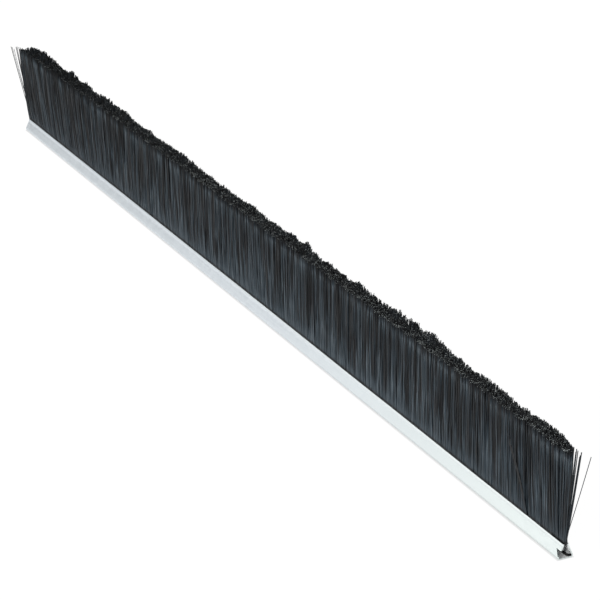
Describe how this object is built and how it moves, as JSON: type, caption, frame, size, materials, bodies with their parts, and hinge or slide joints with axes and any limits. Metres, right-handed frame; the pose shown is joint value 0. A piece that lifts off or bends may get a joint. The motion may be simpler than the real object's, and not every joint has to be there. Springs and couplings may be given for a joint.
{
  "type": "door sweep brush strip",
  "caption": "Straight metal-channel strip brush for a door bottom: a folded steel channel gripping a dense row of black nylon bristles.",
  "frame": {"origin": "middle of the flat underside of the channel's base: mid-length and mid-width", "axes": "+X along the strip, +Y across it, +Z from the channel's base towards the bristle tips"},
  "size_m": [0.9658, 0.0127, 0.0762],
  "materials": {
    "galvanised_sheet": "bright smooth zinc-coated steel sheet, folded, satin gloss",
    "core_wire": "dark annealed steel wire",
    "black_nylon": "black nylon filament, slightly shiny along its length, cut square at the tips"
  },
  "bodies": {
    "strip": {"channel": "galvanised_sheet", "core_wire": "core_wire", "bristle_roots_01": "black_nylon", "bristle_roots_02": "black_nylon", "bristle_roots_03": "black_nylon", "bristle_roots_04": "black_nylon", "bristle_roots_05": "black_nylon", "bristle_roots_06": "black_nylon", "bristle_roots_07": "black_nylon", "bristle_roots_08": "black_nylon", "bristle_roots_09": "black_nylon", "bristle_roots_10": "black_nylon", "bristle_roots_11": "black_nylon", "bristle_roots_12": "black_nylon"},
    "bundle_01": {"bristles_01": "black_nylon", "stray_filaments_left": "black_nylon"},
    "bundle_02": {"bristles_02": "black_nylon"},
    "bundle_03": {"bristles_03": "black_nylon"},
    "bundle_04": {"bristles_04": "black_nylon"},
    "bundle_05": {"bristles_05": "black_nylon"},
    "bundle_06": {"bristles_06": "black_nylon"},
    "bundle_07": {"bristles_07": "black_nylon"},
    "bundle_08": {"bristles_08": "black_nylon"},
    "bundle_09": {"bristles_09": "black_nylon"},
    "bundle_10": {"bristles_10": "black_nylon"},
    "bundle_11": {"bristles_11": "black_nylon"},
    "bundle_12": {"bristles_12": "black_nylon", "stray_filaments_right": "black_nylon"}
  },
  "joints": [
    {"name": "bend_01", "type": "hinge", "parent": "strip", "child": "bundle_01", "pos_m": [-0.4191, 0, 0.0109], "axis": [1, 0, 0], "range_deg": [-35, 35], "stiffness_Nm_per_rad": 0.35},
    {"name": "bend_02", "type": "hinge", "parent": "strip", "child": "bundle_02", "pos_m": [-0.3429, 0, 0.0109], "axis": [1, 0, 0], "range_deg": [-35, 35], "stiffness_Nm_per_rad": 0.35},
    {"name": "bend_03", "type": "hinge", "parent": "strip", "child": "bundle_03", "pos_m": [-0.2667, 0, 0.0109], "axis": [1, 0, 0], "range_deg": [-35, 35], "stiffness_Nm_per_rad": 0.35},
    {"name": "bend_04", "type": "hinge", "parent": "strip", "child": "bundle_04", "pos_m": [-0.1905, 0, 0.0109], "axis": [1, 0, 0], "range_deg": [-35, 35], "stiffness_Nm_per_rad": 0.35},
    {"name": "bend_05", "type": "hinge", "parent": "strip", "child": "bundle_05", "pos_m": [-0.1143, 0, 0.0109], "axis": [1, 0, 0], "range_deg": [-35, 35], "stiffness_Nm_per_rad": 0.35},
    {"name": "bend_06", "type": "hinge", "parent": "strip", "child": "bundle_06", "pos_m": [-0.0381, 0, 0.0109], "axis": [1, 0, 0], "range_deg": [-35, 35], "stiffness_Nm_per_rad": 0.35},
    {"name": "bend_07", "type": "hinge", "parent": "strip", "child": "bundle_07", "pos_m": [0.0381, 0, 0.0109], "axis": [1, 0, 0], "range_deg": [-35, 35], "stiffness_Nm_per_rad": 0.35},
    {"name": "bend_08", "type": "hinge", "parent": "strip", "child": "bundle_08", "pos_m": [0.1143, 0, 0.0109], "axis": [1, 0, 0], "range_deg": [-35, 35], "stiffness_Nm_per_rad": 0.35},
    {"name": "bend_09", "type": "hinge", "parent": "strip", "child": "bundle_09", "pos_m": [0.1905, 0, 0.0109], "axis": [1, 0, 0], "range_deg": [-35, 35], "stiffness_Nm_per_rad": 0.35},
    {"name": "bend_10", "type": "hinge", "parent": "strip", "child": "bundle_10", "pos_m": [0.2667, 0, 0.0109], "axis": [1, 0, 0], "range_deg": [-35, 35], "stiffness_Nm_per_rad": 0.35},
    {"name": "bend_11", "type": "hinge", "parent": "strip", "child": "bundle_11", "pos_m": [0.3429, 0, 0.0109], "axis": [1, 0, 0], "range_deg": [-35, 35], "stiffness_Nm_per_rad": 0.35},
    {"name": "bend_12", "type": "hinge", "parent": "strip", "child": "bundle_12", "pos_m": [0.4191, 0, 0.0109], "axis": [1, 0, 0], "range_deg": [-35, 35], "stiffness_Nm_per_rad": 0.35}
  ]
}
